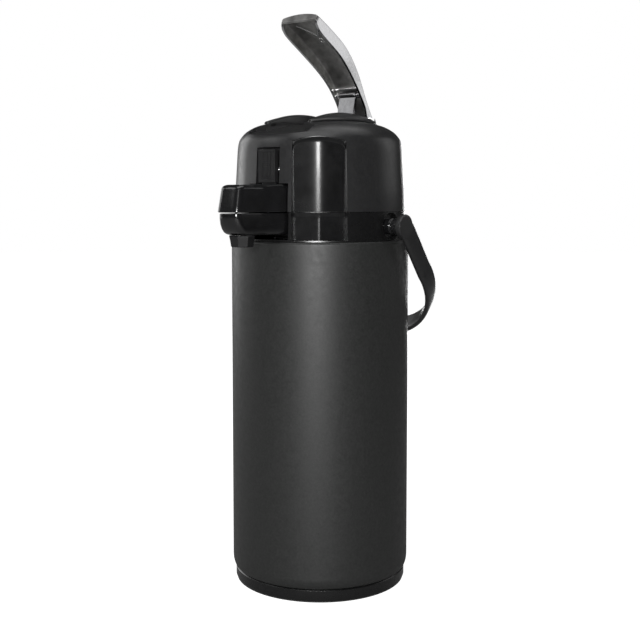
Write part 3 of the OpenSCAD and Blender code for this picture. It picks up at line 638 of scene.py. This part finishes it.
def bead(points, r, sides=8):
    """A thin round bead along a line of points."""
    rings = []
    for i, p in enumerate(points):
        d = (points[min(i + 1, len(points) - 1)] - points[max(i - 1, 0)]).normalized()
        u = d.orthogonal().normalized()
        v = d.cross(u)
        rings.append([tuple(p + r * (math.cos(2 * math.pi * k / sides) * u
                                     + math.sin(2 * math.pi * k / sides) * v)) for k in range(sides)])
    return loft(rings)


def lever_marks():
    """The raised V and the round mark moulded into the underside, the V heavier on its right."""
    marks = []
    for side in (-1, 1):
        line = [under_point(5.5 + 9.5 * i / 12, side * 11.5 * (1 - i / 12)) for i in range(13)]
        marks.append(bead(line, 0.75 + 0.3 * side))
    ring = []
    for i in range(25):
        a = 2 * math.pi * i / 24
        ring.append(under_point(18 + 1.3 * math.cos(a), 2.6 * math.sin(a)))
    marks.append(bead(ring, 0.35))
    return marks


def lever_ribs():
    """Cross bars between the cheeks, above and below the link's pin."""
    ribs = []
    for station, drop, r in ((50.8, 1.6, 1.7), (47.0, 1.2, 1.5)):
        a = under_point(station, 0.0)
        ribs.append(disc_bar(r, 14.6, a.y - drop, a.z - drop * 0.6))
    return ribs


def disc_bar(r, half, y, z, count=20):
    """A round bar across the lever."""
    rings = [[(x, y + r * math.cos(2 * math.pi * i / count), z + r * math.sin(2 * math.pi * i / count))
              for i in range(count)] for x in (-half, -half / 2, 0, half / 2, half)]
    return loft(rings)


def is_under(face):
    """Whether a face of the lever looks down and forward from inside the channel."""
    inner_half = (lever_width(face.center.y / MM) - 2.0) * MM
    return abs(face.center.x) < inner_half and face.normal.y * 0.69 + face.normal.z * 0.73 < 0.25


lever_parts = [lever()]
skin_faces = len(lever_parts[0][1])
lever_parts += lever_marks() + lever_ribs() + [cheek, mirrored(cheek)]
lever_piece = piece("lever_shape", *join(lever_parts), "pump_lever", "chrome", CHROME, ["lever"],
                    bevel=0.3, sharp=40)
# downward faces inside the channel take the darker chrome: a rougher finish, with painted shade on the
# underside
lever_piece.data.materials.append(ROUGH_SHADED_CHROME)
for face in lever_piece.data.polygons:
    if face.index < skin_faces and is_under(face):
        face.material_index = 1

# ================= carry handle =================

EAR_Z = 322.5
EAR_TILT = math.radians(47.5)
STRAP_W, STRAP_T = 20.0, 5.0


def strap_path():
    """Middle line of the strap hanging straight down: X and the distance below the pivot."""
    half = [(90.2, 4.0), (90.0, 12.0)]
    for i in range(33):
        a = math.pi / 2 * i / 32
        half.append((83.8 * math.cos(a) ** 1.1 if i < 32 else 0.0, 58 + 94 * math.sin(a) ** 1.1))
    line = half + [(-x, d) for x, d in reversed(half[:-1])]
    return resample(smooth_curve(line, 3), 150)


def handle():
    """A flat strap with rounded edges that widens into a round ear at each pivot."""
    line = strap_path()
    rings = []
    for i, p in enumerate(line):
        a, b = line[max(i - 1, 0)], line[min(i + 1, len(line) - 1)]
        d = (b - a).normalized()
        across = Vector((d.y, -d.x))
        ring = []
        for k in range(28):
            t = 2 * math.pi * k / 28
            c, s = math.cos(t), math.sin(t)
            u = math.copysign(abs(c) ** 0.42, c) * STRAP_W / 2
            v = math.copysign(abs(s) ** 0.62, s) * STRAP_T / 2
            q = p + across * v
            ring.append((q.x, u, -q.y))
        rings.append(ring)
    ear = disc_x(STRAP_W / 2 + 0.6, 87.2, 92.9, 0, 0, soft=1.5, count=72)
    verts, faces = join([loft(rings), ear, mirrored(ear)])
    c, s = math.cos(EAR_TILT), math.sin(EAR_TILT)
    return [(x, y * c - z * s, EAR_Z + y * s + z * c) for x, y, z in verts], faces


piece("carry_handle_shape", *handle(), "carry_handle", "black_plastic", SATIN, ["bail"], sharp=38)

# ================= the rest of the CAD shapes =================

for node, (mat, bevel) in FINISH.items():
    if not NODES[node].hide_render:
        part = refine(node, mat, bevel)
        if node in ("bellows", "pump_spring"):
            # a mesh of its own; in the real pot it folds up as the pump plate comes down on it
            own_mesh(part)

right_guard = guard()
for name, part in (("guard_right", right_guard), ("guard_left", mirrored(right_guard))):
    piece(name, *part, "lid", "black_plastic", SATIN, sharp=50)

# ================= floor, light and camera =================


def stage_plane():
    mesh = bpy.data.meshes.new("floor")
    rings, count = [], 96
    for r in (0.0001, 0.3, 0.8, 2.0, 6.0):
        rings.append([(r * math.cos(2 * math.pi * i / count), r * math.sin(2 * math.pi * i / count),
                       0.0) for i in range(count)])
    verts, faces = loft(rings, capped=False)
    mesh.from_pydata(verts, [], faces)
    obj = bpy.data.objects.new("floor", mesh)
    bpy.context.scene.collection.objects.link(obj)
    mat = bpy.data.materials.new("floor_paper")
    mat.use_nodes = True
    shader = mat.node_tree.nodes["Principled BSDF"]
    shader.inputs["Base Color"].default_value = (0.3, 0.3, 0.3, 1)
    shader.inputs["Roughness"].default_value = 0.9
    shader.inputs["Emission Color"].default_value = (1, 1, 1, 1)
    rays = mat.node_tree.nodes.new("ShaderNodeLightPath")
    glow = mat.node_tree.nodes.new("ShaderNodeMath")
    glow.operation = "MULTIPLY"
    glow.inputs[1].default_value = 1.0
    mat.node_tree.links.new(rays.outputs["Is Camera Ray"], glow.inputs[0])
    mat.node_tree.links.new(glow.outputs["Value"], shader.inputs["Emission Strength"])
    mesh.materials.append(mat)


stage_plane()


def area_light(name, azimuth, elevation, distance, size, power, aim=(0, 0, 0.25)):
    """A soft box that faces the object. Azimuth 0 is in front of the spout."""
    a, e = math.radians(azimuth), math.radians(elevation)
    target = Vector(aim)
    spot = target + distance * Vector((math.sin(a) * math.cos(e), -math.cos(a) * math.cos(e),
                                       math.sin(e)))
    data = bpy.data.lights.new(name, "AREA")
    data.shape = "RECTANGLE"
    data.size, data.size_y = size
    data.energy = power
    obj = bpy.data.objects.new(name, data)
    obj.location = spot
    obj.rotation_euler = (target - spot).to_track_quat("-Z", "Y").to_euler()
    bpy.context.scene.collection.objects.link(obj)
    return obj


area_light("key", 31, 9, 1.7, (0.42, 0.3), 25, aim=(0, 0, 0.29))
area_light("top", 20, 68, 1.8, (1.2, 1.2), 9)
area_light("tip_panel", -38, 26, 1.6, (0.8, 0.7), 3.0, aim=(0, 0, 0.5))
area_light("left_strip", -66, 8, 1.9, (0.25, 1.6), 3)
area_light("right_panel", 146, 14, 1.8, (0.9, 0.9), 2.4, aim=(0, 0, 0.46))
area_light("back_left", 262, 12, 2.0, (0.9, 1.2), 8)
area_light("back_low", 205, 2, 1.8, (0.8, 0.7), 12, aim=(0, 0, 0.16))
area_light("back_top", 168, 72, 1.9, (1.1, 1.1), 5)

world = bpy.data.worlds.new("studio")
bpy.context.scene.world = world
world.use_nodes = True
studio = world.node_tree
backdrop = studio.nodes["Background"]
backdrop.inputs["Color"].default_value = (1, 1, 1, 1)
backdrop.inputs["Strength"].default_value = 1.0
surround = studio.nodes.new("ShaderNodeBackground")
surround.inputs["Color"].default_value = (1, 1, 1, 1)
surround.inputs["Strength"].default_value = 0.045
rays = studio.nodes.new("ShaderNodeLightPath")
chosen = studio.nodes.new("ShaderNodeMixShader")
studio.links.new(rays.outputs["Is Camera Ray"], chosen.inputs["Fac"])
studio.links.new(surround.outputs["Background"], chosen.inputs[1])
studio.links.new(backdrop.outputs["Background"], chosen.inputs[2])
studio.links.new(chosen.outputs["Shader"], studio.nodes["World Output"].inputs["Surface"])

CAMERA_AZIMUTH = math.radians(36.74)
CAMERA_REACH = 0.977
camera_data = bpy.data.cameras.new("camera")
camera_data.lens = 60.43
camera_data.sensor_width = 36.0
camera_data.shift_y = -0.07
camera = bpy.data.objects.new("camera", camera_data)
camera.location = (CAMERA_REACH * math.sin(CAMERA_AZIMUTH), -CAMERA_REACH * math.cos(CAMERA_AZIMUTH),
                   0.348)
camera.rotation_euler = (math.radians(90 - 4.17), 0, CAMERA_AZIMUTH)
bpy.context.scene.collection.objects.link(camera)
bpy.context.scene.camera = camera
bpy.context.scene.view_settings.view_transform = "Standard"
